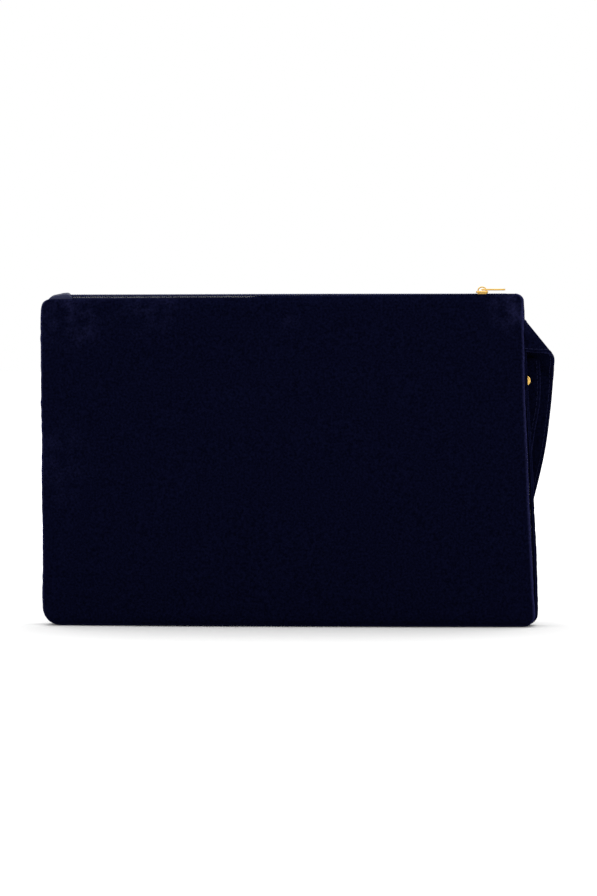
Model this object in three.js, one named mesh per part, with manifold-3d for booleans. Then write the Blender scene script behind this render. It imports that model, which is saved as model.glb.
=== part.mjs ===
// Zippered velvet pouch with a wrist strap, in millimetres. X is the width, Y the depth
// (the front panel faces -Y), Z is up. The origin is on the underside, below the zip's line.
import * as THREE from 'three';
import { mergeVertices } from 'three/addons/utils/BufferGeometryUtils.js';
import Module from 'manifold-3d';

const wasm = await Module();
wasm.setup();

// Overall sizes of the sewn bag.
const WIDTH = 300;              // across the bottom seam
const HEIGHT = 199;             // floor to the panels' top edge
const SIDE_LEAN = 8;            // how far the right side leans in at the top
const BASE_HALF_DEPTH = 13;     // half thickness of the filled bag near the bottom
const EDGE_HALF_DEPTH = 7;      // half thickness at the side seams and along the zip
const CORNER_R = 9;             // bottom corners, seen from the front
const TOP_CORNER_R = 4;
const BASE_ROUND_R = 3;         // rounding of the bottom folds, seen from the side
const SEAM_Y = -3;              // plane of the side and bottom seams
const GAP = 0.3;                // clearance between touching pieces

// Cloth layers, from the outside in.
const VELVET_T = 1.4;
const INTERLINING_T = 0.8;
const LINING_T = 0.6;
const INTERLINING_DROP = 2;     // the interlining stops this far below the top edge
const LINING_DROP = 12;         // the lining stops where the zip tape begins

// Coil zip.
const TAPE_T = 0.6;
const TAPE_EDGE = 1;            // the tape's inner edge, from the zip's centre line
const COIL_PITCH = 1.4;
const COIL_IN = 0.5;            // inner face of one half of the coil, from the centre line
const COIL_WIDTH = 2.1;
const COIL_HEIGHT = 1.8;
const COIL_GROOVE = 0.6;
const END_TAB_LEFT_W = 6;
const END_TAB_RIGHT_W = 4;
const END_TAB_HEIGHT = 2.4;
const END_TAB_HALF_DEPTH = 3;

// Slider and pull tab.
const SLIDER_LENGTH = 7.3;
const SLIDER_STOP = 21.3;       // centre of the closed slider, from the zip's right end
const SLIDER_PLATE_T = 1.2;
const FLANGE_T = 1;
const NECK_W = 0.4;
const NECK_LENGTH = 1.8;
const BRIDGE_LENGTH = 5.6;
const BRIDGE_W = 1.4;
const BRIDGE_T = 0.7;
const PULL_BAR_R = 0.5;
const PULL_W = 4.6;
const PULL_LENGTH = 14;
const PULL_T = 1;
const PULL_WINDOW = 4;          // length of the eye that goes round the bridge

// Wrist strap.
const STRAP_W = 22;
const STRAP_T = 2;
const STRAP_DROP = 11;          // the strap's upper edge, below the panels' top edge
const FOLD_REACH = 10;          // how far the folded root stands out past the bottom corner
const FOLD_BULGE = 1;           // the loop's outer edge stands this far past the fold
const LOOP_STANDOFF = 4;        // the near ply's front face, behind the side seam's back edge
const LOOP_DROP = 10;           // the loop's top, below the strap's upper edge
const LOOP_LENGTH = 144;
const LOOP_OPEN = 11;           // widest inside gap between the plies
const LOOP_TILT = 5;            // degrees that the loop hangs inwards
const PLY_GAP = 0.4;            // between the two plies where the rivet holds them
const PIVOT_DROP = 16;          // the fold that the loop lifts about, below the upper edge

// Rivet through both plies.
const STUD_DROP = 40;           // below the strap's upper edge
const STUD_OFFSET_X = -5;       // from the middle of the loop
const STUD_R = 3.35;
const STUD_DOME = 1.7;
const POST_R = 1.2;
const POST_HEAD_R = 2.6;
const POST_HEAD_T = 1;

const HALF_WIDTH = WIDTH / 2;
const STRAP_TOP_Z = HEIGHT - STRAP_DROP;
const FOLD_X = HALF_WIDTH + FOLD_REACH;
const LOOP_Y = EDGE_HALF_DEPTH + LOOP_STANDOFF;
const LOOP_TOP_Z = STRAP_TOP_Z - LOOP_DROP;
const LOOP_BOTTOM_Z = LOOP_TOP_Z - LOOP_LENGTH;
const LIFT_PIVOT_X = FOLD_X + FOLD_BULGE - STRAP_W / 2;
const LIFT_PIVOT_Z = STRAP_TOP_Z - PIVOT_DROP;
const STUD_Z = STRAP_TOP_Z - STUD_DROP;
const WALL = VELVET_T + GAP + INTERLINING_T + GAP + LINING_T;
const CURVE_STEPS = 20;
const BIG = 2 * (WIDTH + HEIGHT);

function finish(color, roughness, metalness = 0) {
  return new THREE.MeshStandardMaterial({ color, roughness, metalness });
}

const velvet = finish('#0b0c24', 1);
const lining = finish('#15183a', 0.6);
const interlining = finish('#c9c8c4', 1);
const tape = finish('#0d0f2a', 0.9);
const nylon = finish('#10122e', 0.45);
const satin = finish('#3a4170', 0.45);
const gold = finish('#c9a24e', 0.25, 1);

function toSolid(geometry) {
  const bare = geometry.index ? geometry.toNonIndexed() : geometry.clone();
  bare.deleteAttribute('normal');
  bare.deleteAttribute('uv');
  const merged = mergeVertices(bare, 1e-4);
  return new wasm.Manifold(new wasm.Mesh({
    numProp: 3,
    vertProperties: new Float32Array(merged.attributes.position.array),
    triVerts: new Uint32Array(merged.index.array),
  }));
}

function toGeometry(solid) {
  const mesh = solid.getMesh();
  const geometry = new THREE.BufferGeometry();
  const positions = new THREE.BufferAttribute(new Float32Array(mesh.vertProperties), 3);
  geometry.setAttribute('position', positions);
  geometry.setIndex(new THREE.BufferAttribute(new Uint32Array(mesh.triVerts), 1));
  geometry.computeVertexNormals();
  return geometry;
}

function box(x0, x1, y0, y1, z0, z1) {
  const geometry = new THREE.BoxGeometry(x1 - x0, y1 - y0, z1 - z0);
  return geometry.translate((x0 + x1) / 2, (y0 + y1) / 2, (z0 + z1) / 2);
}

// An outline in X and Z, extruded along Y from y0 to y1.
function extrudeY(shape, y0, y1, curveSegments = 6) {
  const options = { depth: y1 - y0, bevelEnabled: false, curveSegments };
  const geometry = new THREE.ExtrudeGeometry(shape, options);
  return geometry.rotateX(Math.PI / 2).translate(0, y1, 0);
}

// An outline in Y and Z, extruded along X from x0 to x1.
function extrudeX(shape, x0, x1, curveSegments = 6) {
  const options = { depth: x1 - x0, bevelEnabled: false, curveSegments };
  const geometry = new THREE.ExtrudeGeometry(shape, options);
  return geometry.rotateY(Math.PI / 2).rotateX(Math.PI / 2).translate(x0, 0, 0);
}

// An outline in X and Y, extruded up Z from z0 to z1.
function extrudeZ(shape, z0, z1) {
  const options = { depth: z1 - z0, bevelEnabled: false };
  return new THREE.ExtrudeGeometry(shape, options).translate(0, 0, z0);
}

// Right-hand edge of the bag at height z: it leans in towards the top.
function rightEdge(z) {
  return HALF_WIDTH - SIDE_LEAN * z / HEIGHT;
}

// Half thickness across the width: the side seams hold it thin.
function depthAcross(x) {
  const bulge = BASE_HALF_DEPTH - EDGE_HALF_DEPTH;
  return EDGE_HALF_DEPTH + bulge * (1 - Math.abs(x / HALF_WIDTH) ** 3);
}

// Half thickness up the height: the zip holds the top thin.
function depthUp(z) {
  const bulge = BASE_HALF_DEPTH - EDGE_HALF_DEPTH;
  return BASE_HALF_DEPTH - bulge * Math.min(z / HEIGHT, 1) ** 2.2;
}

function planOutline(inset) {
  const points = [];
  for (let i = 0; i <= CURVE_STEPS; i += 1) {
    const x = -HALF_WIDTH + WIDTH * i / CURVE_STEPS;
    points.push(new THREE.Vector2(x, inset - depthAcross(x)));
  }
  const back = points.map((p) => new THREE.Vector2(p.x, -p.y)).reverse();
  return new THREE.Shape([...points, ...back]);
}

function sideOutline(inset, top) {
  const round = Math.max(BASE_ROUND_R - inset, 0.4);
  const shape = new THREE.Shape();
  const base = BASE_HALF_DEPTH - inset;
  shape.moveTo(-base + round, inset);
  shape.lineTo(base - round, inset);
  shape.absarc(base - round, inset + round, round, -Math.PI / 2, 0, false);
  for (let i = 2; i <= CURVE_STEPS / 2; i += 1) {
    const z = HEIGHT * i / (CURVE_STEPS / 2);
    shape.lineTo(depthUp(z) - inset, z);
  }
  shape.lineTo(EDGE_HALF_DEPTH - inset, top);
  shape.lineTo(inset - EDGE_HALF_DEPTH, top);
  for (let i = CURVE_STEPS / 2; i >= 2; i -= 1) {
    const z = HEIGHT * i / (CURVE_STEPS / 2);
    shape.lineTo(inset - depthUp(z), z);
  }
  shape.absarc(-base + round, inset + round, round, Math.PI, 1.5 * Math.PI, false);
  return shape;
}

function faceOutline(inset, top, topRound) {
  const left = -HALF_WIDTH + inset;
  const bottomRight = HALF_WIDTH - inset;
  const round = Math.max(CORNER_R - inset, 1);
  const shape = new THREE.Shape();
  shape.moveTo(left + round, inset);
  shape.lineTo(bottomRight - round, inset);
  shape.quadraticCurveTo(bottomRight, inset, bottomRight, inset + round);
  shape.lineTo(rightEdge(top) - inset, top - topRound);
  shape.quadraticCurveTo(rightEdge(top) - inset, top, rightEdge(top) - inset - topRound, top);
  shape.lineTo(left + topRound, top);
  shape.quadraticCurveTo(left, top, left, top - topRound);
  shape.lineTo(left, inset + round);
  shape.quadraticCurveTo(left, inset, left + round, inset);
  return shape;
}

// The bag's outer form, shrunk on every side by an inset, and cut off level at a height.
function bagForm(inset, top, topRound) {
  const plan = toSolid(extrudeZ(planOutline(inset), 0, top));
  const side = toSolid(extrudeX(sideOutline(inset, top), -HALF_WIDTH, HALF_WIDTH));
  const face = toSolid(extrudeY(faceOutline(inset, top, topRound), -BIG, BIG));
  return plan.intersect(side).intersect(face);
}

// One layer of one half of the bag: a dish open at the top, parted along the seams.
function clothLayer(outer, thickness, drop, isFront) {
  const top = HEIGHT - drop;
  const skin = bagForm(outer, top, drop > 0 ? 1 : TOP_CORNER_R);
  const room = bagForm(outer + thickness, HEIGHT + 1, 1);
  const half = isFront
    ? box(-BIG, BIG, -BIG, SEAM_Y - GAP / 2, -BIG, BIG)
    : box(-BIG, BIG, SEAM_Y + GAP / 2, BIG, -BIG, BIG);
  return toGeometry(skin.subtract(room).intersect(toSolid(half)));
}

const ZIP_LEFT = -HALF_WIDTH + WALL + GAP;
const ZIP_RIGHT = rightEdge(HEIGHT) - WALL - GAP;
const TAPE_TOP = HEIGHT + 0.4;
const COIL_BASE = TAPE_TOP + GAP;
const COIL_LEFT = ZIP_LEFT + END_TAB_LEFT_W + GAP;
const COIL_RIGHT = ZIP_RIGHT - END_TAB_RIGHT_W - GAP;
const TAPE_LEG_OUT = EDGE_HALF_DEPTH - VELVET_T - GAP - INTERLINING_T - GAP;

// One side of the zip's tape: a shelf under the coil and a leg sewn down inside the panel.
function zipTape(side) {
  const leg = HEIGHT - LINING_DROP + GAP;
  const shape = new THREE.Shape();
  shape.moveTo(TAPE_EDGE, TAPE_TOP - TAPE_T);
  shape.lineTo(TAPE_LEG_OUT - TAPE_T, TAPE_TOP - TAPE_T);
  shape.lineTo(TAPE_LEG_OUT - TAPE_T, leg);
  shape.lineTo(TAPE_LEG_OUT, leg);
  shape.lineTo(TAPE_LEG_OUT, TAPE_TOP);
  shape.lineTo(TAPE_EDGE, TAPE_TOP);
  const strip = extrudeX(shape, ZIP_LEFT, ZIP_RIGHT);
  return side > 0 ? strip : strip.rotateZ(Math.PI).translate(ZIP_LEFT + ZIP_RIGHT, 0, 0);
}

// One half of the coil: a bar whose top is ridged by the turns of the filament.
function zipCoil(side) {
  const turns = Math.floor((COIL_RIGHT - COIL_LEFT) / COIL_PITCH);
  const top = COIL_BASE + COIL_HEIGHT;
  const shape = new THREE.Shape();
  shape.moveTo(COIL_LEFT, COIL_BASE);
  shape.lineTo(COIL_LEFT + turns * COIL_PITCH, COIL_BASE);
  for (let i = turns; i > 0; i -= 1) {
    shape.lineTo(COIL_LEFT + i * COIL_PITCH, top - COIL_GROOVE);
    shape.lineTo(COIL_LEFT + (i - 0.5) * COIL_PITCH, top);
  }
  shape.lineTo(COIL_LEFT, top - COIL_GROOVE);
  const near = side * COIL_IN;
  const far = side * (COIL_IN + COIL_WIDTH);
  return extrudeY(shape, Math.min(near, far), Math.max(near, far));
}

// A scrap of satin folded over the cut end of the zip.
function endTab(x0, width) {
  const shape = new THREE.Shape();
  shape.moveTo(-END_TAB_HALF_DEPTH, COIL_BASE);
  shape.lineTo(END_TAB_HALF_DEPTH, COIL_BASE);
  shape.lineTo(END_TAB_HALF_DEPTH, COIL_BASE + END_TAB_HEIGHT / 2);
  shape.quadraticCurveTo(0, COIL_BASE + 1.5 * END_TAB_HEIGHT, -END_TAB_HALF_DEPTH,
    COIL_BASE + END_TAB_HEIGHT / 2);
  return extrudeX(shape, x0, x0 + width);
}

const SLIDER_TOP = COIL_BASE + COIL_HEIGHT + GAP + SLIDER_PLATE_T;

// The cast slider: two plates joined by a neck, with flanges that hold the coil in.
function sliderBody() {
  const reach = COIL_IN + COIL_WIDTH + GAP + FLANGE_T;
  const under = TAPE_LEG_OUT - TAPE_T - 2 * GAP;
  const left = -SLIDER_LENGTH / 2;
  const right = SLIDER_LENGTH / 2;
  const topUnder = SLIDER_TOP - SLIDER_PLATE_T;
  const bottomTop = TAPE_TOP - TAPE_T - GAP;
  const parts = [
    box(left, right, -reach, reach, topUnder, SLIDER_TOP),
    box(left, right, -reach, -reach + FLANGE_T, COIL_BASE, topUnder),
    box(left, right, reach - FLANGE_T, reach, COIL_BASE, topUnder),
    box(left, right, -under, under, bottomTop - SLIDER_PLATE_T, bottomTop),
    box(right - NECK_LENGTH, right, -NECK_W / 2, NECK_W / 2, bottomTop, topUnder),
  ];
  const joined = parts.slice(1).reduce((sum, p) => sum.add(toSolid(p)), toSolid(parts[0]));
  return toGeometry(joined);
}

// The arched bridge on the slider, which the pull tab's bar sits under.
function sliderBridge() {
  const half = BRIDGE_LENGTH / 2;
  const clear = 2 * PULL_BAR_R + 3 * GAP;
  const foot = SLIDER_TOP + GAP;
  const shape = new THREE.Shape();
  shape.moveTo(-half, foot);
  shape.lineTo(-half + BRIDGE_T, foot);
  shape.bezierCurveTo(-half + BRIDGE_T, foot + 1.3 * clear, half - BRIDGE_T, foot + 1.3 * clear,
    half - BRIDGE_T, foot);
  shape.lineTo(half, foot);
  shape.bezierCurveTo(half, foot + 1.3 * (clear + BRIDGE_T), -half, foot + 1.3 * (clear + BRIDGE_T),
    -half, foot);
  return extrudeY(shape, -BRIDGE_W / 2, BRIDGE_W / 2, 8);
}

// The flat tab, with an eye whose round bar turns under the bridge at the tab's own origin.
function pullTab() {
  const shape = new THREE.Shape();
  shape.moveTo(0, -PULL_W / 2);
  shape.lineTo(PULL_LENGTH - PULL_W / 2, -PULL_W / 2);
  shape.absarc(PULL_LENGTH - PULL_W / 2, 0, PULL_W / 2, -Math.PI / 2, Math.PI / 2, false);
  shape.lineTo(0, PULL_W / 2);
  const eye = box(-BIG, PULL_WINDOW, -BRIDGE_W / 2 - 2 * GAP, BRIDGE_W / 2 + 2 * GAP, -BIG, BIG);
  const bar = new THREE.CylinderGeometry(PULL_BAR_R, PULL_BAR_R, PULL_W, 12);
  const plate = toSolid(extrudeZ(shape, -PULL_T / 2, PULL_T / 2)).subtract(toSolid(eye));
  return toGeometry(plate.add(toSolid(bar)));
}

const ROOT_BOTTOM_Z = STRAP_TOP_Z - STRAP_W;
const ROOT_PIVOT_X = rightEdge(ROOT_BOTTOM_Z) + GAP + STRAP_T / 2;

// The sewn-in root: a flat ply that leaves the side seam and folds over behind itself.
function strapRoot() {
  const ply = new THREE.Shape();
  ply.moveTo(ROOT_PIVOT_X, ROOT_BOTTOM_Z);
  ply.lineTo(FOLD_X, ROOT_BOTTOM_Z);
  ply.lineTo(ROOT_PIVOT_X, STRAP_TOP_Z);
  const foldX = ROOT_PIVOT_X + (FOLD_X - ROOT_PIVOT_X) / 4;
  const fold = new THREE.Shape();
  fold.moveTo(foldX, ROOT_BOTTOM_Z);
  fold.lineTo(FOLD_X, ROOT_BOTTOM_Z);
  fold.lineTo(foldX, STRAP_TOP_Z - STRAP_W / 4);
  const front = SEAM_Y - STRAP_T / 2;
  const hem = new THREE.CylinderGeometry(STRAP_T / 2, STRAP_T / 2, STRAP_W, 12);
  hem.rotateX(Math.PI / 2).translate(ROOT_PIVOT_X, SEAM_Y, ROOT_BOTTOM_Z + STRAP_W / 2);
  const flat = toSolid(extrudeY(ply, front, front + STRAP_T));
  const back = toSolid(extrudeY(fold, front, LOOP_Y - GAP));
  return toGeometry(flat.add(back).add(toSolid(hem)));
}

// Side view of the loop, in Y and Z: one outline, set in by an amount.
function loopOutline(shape, inset) {
  const near = LOOP_Y + inset;
  const far = LOOP_Y + 2 * STRAP_T + PLY_GAP - inset;
  const widest = LOOP_Y + LOOP_OPEN + 2 * STRAP_T - inset;
  const bend = (LOOP_OPEN + 2 * STRAP_T) / 2 - inset;
  const bottom = LOOP_BOTTOM_Z + inset;
  shape.moveTo(near, LOOP_TOP_Z - inset);
  shape.lineTo(near, bottom + bend);
  shape.absarc(near + bend, bottom + bend, bend, Math.PI, 2 * Math.PI, false);
  const sweep = (STUD_Z - LOOP_BOTTOM_Z) / 3;
  shape.bezierCurveTo(widest, bottom + bend + sweep, far, STUD_Z - 3 * STUD_R, far, STUD_Z - STUD_R);
  shape.lineTo(far, LOOP_TOP_Z - inset);
  return shape;
}

// The loop: one band, doubled, with both plies pierced for the rivet.
function strapLoop() {
  const shape = loopOutline(new THREE.Shape(), 0);
  shape.holes.push(loopOutline(new THREE.Path(), STRAP_T));
  const ring = extrudeX(shape, -STRAP_W / 2, STRAP_W / 2, 10);
  ring.translate(0, 0, -LIFT_PIVOT_Z);
  const pierce = new THREE.CylinderGeometry(POST_R + GAP, POST_R + GAP, 30, 16);
  pierce.translate(STUD_OFFSET_X, LOOP_Y, STUD_Z - LIFT_PIVOT_Z);
  return toGeometry(toSolid(ring).subtract(toSolid(pierce)));
}

// Rivet cap: a low dome on the front of the near ply.
function studCap() {
  const profile = [];
  for (let i = 0; i <= 6; i += 1) {
    const angle = Math.PI / 2 * i / 6;
    profile.push(new THREE.Vector2(STUD_R * Math.cos(angle), STUD_DOME * Math.sin(angle)));
  }
  profile.unshift(new THREE.Vector2(0, 0));
  profile[profile.length - 1].x = 0;
  return new THREE.LatheGeometry(profile, 24).rotateX(Math.PI);
}

// Rivet post: a shank through both plies with a flat head behind the far one.
function studPost() {
  const shank = 2 * STRAP_T + PLY_GAP + GAP;
  const profile = [
    new THREE.Vector2(0, 0),
    new THREE.Vector2(POST_R, 0),
    new THREE.Vector2(POST_R, shank),
    new THREE.Vector2(POST_HEAD_R, shank),
    new THREE.Vector2(POST_HEAD_R, shank + POST_HEAD_T),
    new THREE.Vector2(0, shank + POST_HEAD_T),
  ];
  return new THREE.LatheGeometry(profile, 20);
}

const group = new THREE.Group();

function add(parent, name, geometry, material, x = 0, y = 0, z = 0) {
  const mesh = new THREE.Mesh(geometry, material);
  mesh.name = name;
  mesh.position.set(x, y, z);
  parent.add(mesh);
}

const INTERLINING_INSET = VELVET_T + GAP;
const LINING_INSET = INTERLINING_INSET + INTERLINING_T + GAP;

for (const [end, isFront] of [['front', true], ['back', false]]) {
  const side = isFront ? -1 : 1;
  add(group, `${end}_panel`, clothLayer(0, VELVET_T, 0, isFront), velvet);
  add(group, `interlining_${end}`,
    clothLayer(INTERLINING_INSET, INTERLINING_T, INTERLINING_DROP, isFront), interlining);
  add(group, `lining_${end}`, clothLayer(LINING_INSET, LINING_T, LINING_DROP, isFront), lining);
  add(group, `zip_tape_${end}`, zipTape(side), tape);
  add(group, `zip_coil_${end}`, zipCoil(side), nylon);
}
add(group, 'zip_end_tab_left', endTab(ZIP_LEFT, END_TAB_LEFT_W), satin);
add(group, 'zip_end_tab_right', endTab(ZIP_RIGHT - END_TAB_RIGHT_W, END_TAB_RIGHT_W), satin);

const slider = new THREE.Group();
slider.position.set(ZIP_RIGHT - SLIDER_STOP, 0, 0);
add(slider, 'slider_body', sliderBody(), gold);
add(slider, 'slider_bridge', sliderBridge(), gold);
add(slider, 'pull_tab', pullTab(), gold, 0, 0, SLIDER_TOP + GAP + PULL_BAR_R);
group.add(slider);

add(group, 'strap_root', strapRoot(), velvet);
const loop = new THREE.Group();
loop.position.set(LIFT_PIVOT_X, 0, LIFT_PIVOT_Z);
loop.rotation.y = THREE.MathUtils.degToRad(LOOP_TILT);
add(loop, 'strap_loop', strapLoop(), velvet);
add(loop, 'stud_cap', studCap(), gold, STUD_OFFSET_X, LOOP_Y - GAP, STUD_Z - LIFT_PIVOT_Z);
add(loop, 'stud_post', studPost(), gold, STUD_OFFSET_X, LOOP_Y, STUD_Z - LIFT_PIVOT_Z);
group.add(loop);

export default group;
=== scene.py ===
import math

import bmesh
import bpy
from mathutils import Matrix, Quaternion, Vector, noise


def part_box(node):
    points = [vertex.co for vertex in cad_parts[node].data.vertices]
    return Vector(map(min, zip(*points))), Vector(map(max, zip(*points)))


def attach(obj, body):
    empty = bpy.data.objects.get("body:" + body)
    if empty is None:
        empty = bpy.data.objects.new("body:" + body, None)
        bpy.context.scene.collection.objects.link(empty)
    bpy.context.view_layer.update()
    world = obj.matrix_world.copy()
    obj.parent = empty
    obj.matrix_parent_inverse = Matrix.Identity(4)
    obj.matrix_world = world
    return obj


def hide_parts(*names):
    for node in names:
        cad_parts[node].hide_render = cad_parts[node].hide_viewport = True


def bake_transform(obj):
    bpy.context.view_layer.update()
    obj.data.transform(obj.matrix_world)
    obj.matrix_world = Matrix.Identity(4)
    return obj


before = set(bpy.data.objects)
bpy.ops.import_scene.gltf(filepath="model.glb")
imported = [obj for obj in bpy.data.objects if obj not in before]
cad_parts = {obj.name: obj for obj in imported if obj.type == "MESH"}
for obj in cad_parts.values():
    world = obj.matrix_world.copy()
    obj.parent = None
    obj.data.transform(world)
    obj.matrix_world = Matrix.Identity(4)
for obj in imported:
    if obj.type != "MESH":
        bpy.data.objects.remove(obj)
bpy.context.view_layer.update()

MM = 0.001

# ---------------------------------------------------------------------------
# The set: a white sheet to stand on, a white surround, and large soft lights.
# It holds the pouch still and evenly lit, and is no part of it.

scene = bpy.context.scene
scene.view_settings.view_transform = "Standard"


def linear(code, alpha=1.0):
    """An sRGB hex colour as linear red, green, blue and alpha."""
    parts = [int(code[i:i + 2], 16) / 255 for i in (1, 3, 5)]
    return (*[c / 12.92 if c <= 0.04045 else ((c + 0.055) / 1.055) ** 2.4 for c in parts], alpha)


def add_node(tree, kind, values=None, links=None, **settings):
    """Adds a node, sets its settings and its inputs' values, and links other inputs."""
    node = tree.nodes.new(kind)
    for name, value in settings.items():
        setattr(node, name, value)
    for key, value in (values or {}).items():
        node.inputs[key].default_value = value
    for key, socket in (links or {}).items():
        tree.links.new(socket, node.inputs[key])
    return node


def wave_scale(period, diagonal=True):
    """The scale that gives a wave texture's bands this period, in metres."""
    return (0.628 if diagonal else 0.314) / period


def new_material(name):
    """An empty material, its node tree, and the object's own coordinates for its patterns."""
    material = bpy.data.materials.new(name)
    material.use_nodes = True
    tree = material.node_tree
    tree.nodes.clear()
    place = add_node(tree, "ShaderNodeTexCoord")
    return material, tree, place.outputs["Object"]


def finish_material(material, shader):
    """Links the shader to the material's output."""
    add_node(material.node_tree, "ShaderNodeOutputMaterial",
             links={"Surface": shader.outputs["BSDF"]})
    return material


def paper_white():
    """Matt white background paper with painted light: it glows, none within 0.25 m of the pouch, rising
    to 0.6 at 0.9 m away.
    """
    material, tree, place = new_material("background_paper")
    away = add_node(tree, "ShaderNodeVectorMath", links={0: place}, operation="LENGTH")
    # Painted light: the paper glows more the farther it lies from the pouch.
    painted_glow = add_node(tree, "ShaderNodeMapRange",
                    {"From Min": 0.25, "From Max": 0.9, "To Min": 0.0, "To Max": 0.6},
                    {"Value": away.outputs["Value"]}, interpolation_type="SMOOTHSTEP")
    shader = add_node(tree, "ShaderNodeBsdfPrincipled",
                      {"Base Color": linear("#d2d2d2"), "Roughness": 1.0, "Specular IOR Level": 0.0,
                       "Emission Color": linear("#ffffff")},
                      {"Emission Strength": painted_glow.outputs[0]})
    return finish_material(material, shader)


def link_object(name, mesh, material):
    """A smooth shaded object of one material, in the scene."""
    mesh.materials.append(material)
    mesh.polygons.foreach_set("use_smooth", [True] * len(mesh.polygons))
    obj = bpy.data.objects.new(name, mesh)
    scene.collection.objects.link(obj)
    return obj


def link_mesh(name, verts, faces, material):
    """An object made from points and faces."""
    mesh = bpy.data.meshes.new(name)
    mesh.from_pydata([tuple(v) for v in verts], [], faces)
    mesh.validate()
    return link_object(name, mesh, material)


def area_light(name, place, aim, size, power):
    light = bpy.data.lights.new(name, "AREA")
    light.shape = "RECTANGLE"
    light.size, light.size_y = size
    light.energy = power
    obj = bpy.data.objects.new(name, light)
    obj.location = place
    obj.rotation_euler = (Vector(aim) - Vector(place)).to_track_quat("-Z", "Y").to_euler()
    scene.collection.objects.link(obj)


FLOOR_HALF = 4.0
floor = link_mesh("floor", [(-FLOOR_HALF, -FLOOR_HALF, 0), (FLOOR_HALF, -FLOOR_HALF, 0),
                            (FLOOR_HALF, FLOOR_HALF, 0), (-FLOOR_HALF, FLOOR_HALF, 0)],
                  [(0, 1, 2, 3)], paper_white())

world = bpy.data.worlds.new("white_surround")
world.use_nodes = True
world.node_tree.nodes["Background"].inputs["Color"].default_value = (1, 1, 1, 1)
world.node_tree.nodes["Background"].inputs["Strength"].default_value = 1.0
scene.world = world
area_light("soft_light_left", (-1.3, -1.5, 1.6), (0, 0, 0.08), (1.2, 1.2), 8)
area_light("soft_light_right", (1.5, -1.1, 1.2), (0, 0, 0.08), (1.0, 1.4), 6)
area_light("soft_light_top", (0, 0.22, 1.5), (0, 0.22, 0), (1.8, 0.95), 24)

AZIMUTH = math.radians(4.0)
ELEVATION = math.radians(3.5)
AIM = Vector((0.0056, 0, 0.1081))
LENS = 135
SENSOR = 36
VIEW_HEIGHT = 0.544
ROLL = math.radians(0.24)       # keeps the base level in a view from a little to one side
camera = bpy.data.objects.new("camera", bpy.data.cameras.new("camera"))
camera.data.lens = LENS
camera.data.sensor_width = SENSOR
back = Vector((math.sin(AZIMUTH) * math.cos(ELEVATION), -math.cos(AZIMUTH) * math.cos(ELEVATION),
               math.sin(ELEVATION)))
camera.location = AIM + back * (VIEW_HEIGHT * LENS / SENSOR)
camera.rotation_euler = ((-back).to_track_quat("-Z", "Y") @ Quaternion((0, 0, 1), -ROLL)).to_euler()
camera.data.clip_end = 20
scene.collection.objects.link(camera)
scene.camera = camera

# ---------------------------------------------------------------------------
# Front and back panels: two rectangles of dark navy cut-pile velvet, cut with a seam
# allowance, sewn face to face down both sides and along the bottom, and turned out.
# The seams pull the edges into two rolled ridges with a puckered valley between them.

front_low, front_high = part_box("front_panel")
back_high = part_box("back_panel")[1]
LEFT = front_low[0]
RIGHT = front_high[0]
TOP = front_high[2]
HALF_WIDTH = (RIGHT - LEFT) / 2
BASE_HALF = back_high[1]
ZIP_HALF = 7.0 * MM             # half thickness where the zip is sewn in
EDGE_HALF_TOP = 5.5 * MM        # half thickness at the side seams, up by the zip
EDGE_HALF_BASE = 8.5 * MM       # and down at the floor, where the bag settles open
SIDE_LEAN = 7.6 * MM            # the right side leans in towards the top
SEAM_Y = -1.0 * MM
SEAM_VALLEY = 1.4 * MM          # how far the side seams sink between the ridges
BASE_VALLEY = 0.5 * MM
SIDE_ROUND = 2.8 * MM
BASE_ROUND = 6.0 * MM
HEM_HALF = 5.6 * MM             # the folded top edge, from the zip's centre line
HEM_ROUND = 1.5 * MM
VELVET_T = 1.1 * MM
RIDGE_SHARE = 0.35              # where the ridge's outermost line lies across the edge
BACK_PROUD = 3.0 * MM           # the back panel's right edge stands out past the front's
HEM_RISE = 2.3 * MM             # the top edge climbs this much towards the slider's end
HEM_RISE_RUN = 60 * MM          # and the cloth below it gives over this height
HEM_TUCK = 5 * MM               # height over which a panel draws in to its hem
LEFT_PROUD = 1.2 * MM           # the left seam bulges out past the cut width
RIGHT_SHY = 0.5 * MM            # and the right one stops short of it
DEPTH_SHY = 0.6 * MM            # keeps the swells inside the base's depth
CORNER_BASE_LEFT = 11.0 * MM
CORNER_BASE_RIGHT = 7.5 * MM
CORNER_TOP_LEFT = 6.0 * MM
CORNER_TOP_RIGHT = 4.5 * MM
FACE_STEP = 1.6 * MM
VALLEY_SHADE = 6 * MM           # keeps the painted sheen on the ridges and out of the seams


def ease(t):
    t = min(max(t, 0.0), 1.0)
    return t * t * (3 - 2 * t)


def rough(x, y, z, size, seed=0.0):
    """Smooth noise from -1 to 1 whose lumps are about one size across."""
    return noise.noise(Vector((x / size + seed, y / size - seed, z / size + 2 * seed)))


def corner_cut(height, radius):
    """How far a round corner has drawn in at this height above its end."""
    if height >= radius:
        return 0.0
    return radius - math.sqrt(max(radius ** 2 - (radius - height) ** 2, 0.0))


def hem_rise(x, z):
    """The top edge is sewn higher up the zip at its right end than at its left."""
    return HEM_RISE * ease((x - LEFT) / (RIGHT - LEFT)) * ease((z - (TOP - HEM_RISE_RUN)) / HEM_RISE_RUN)


def left_edge(z, inset):
    """The left side, scalloped a little by its seam."""
    wave = 0.7 * MM * rough(0, 0, z, 38 * MM, 3.1) + 0.25 * MM * rough(0, 0, z, 9 * MM, 7.7)
    cut = corner_cut(z - inset, CORNER_BASE_LEFT) + corner_cut(TOP - z, CORNER_TOP_LEFT)
    return LEFT - LEFT_PROUD + wave + cut + inset


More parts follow.
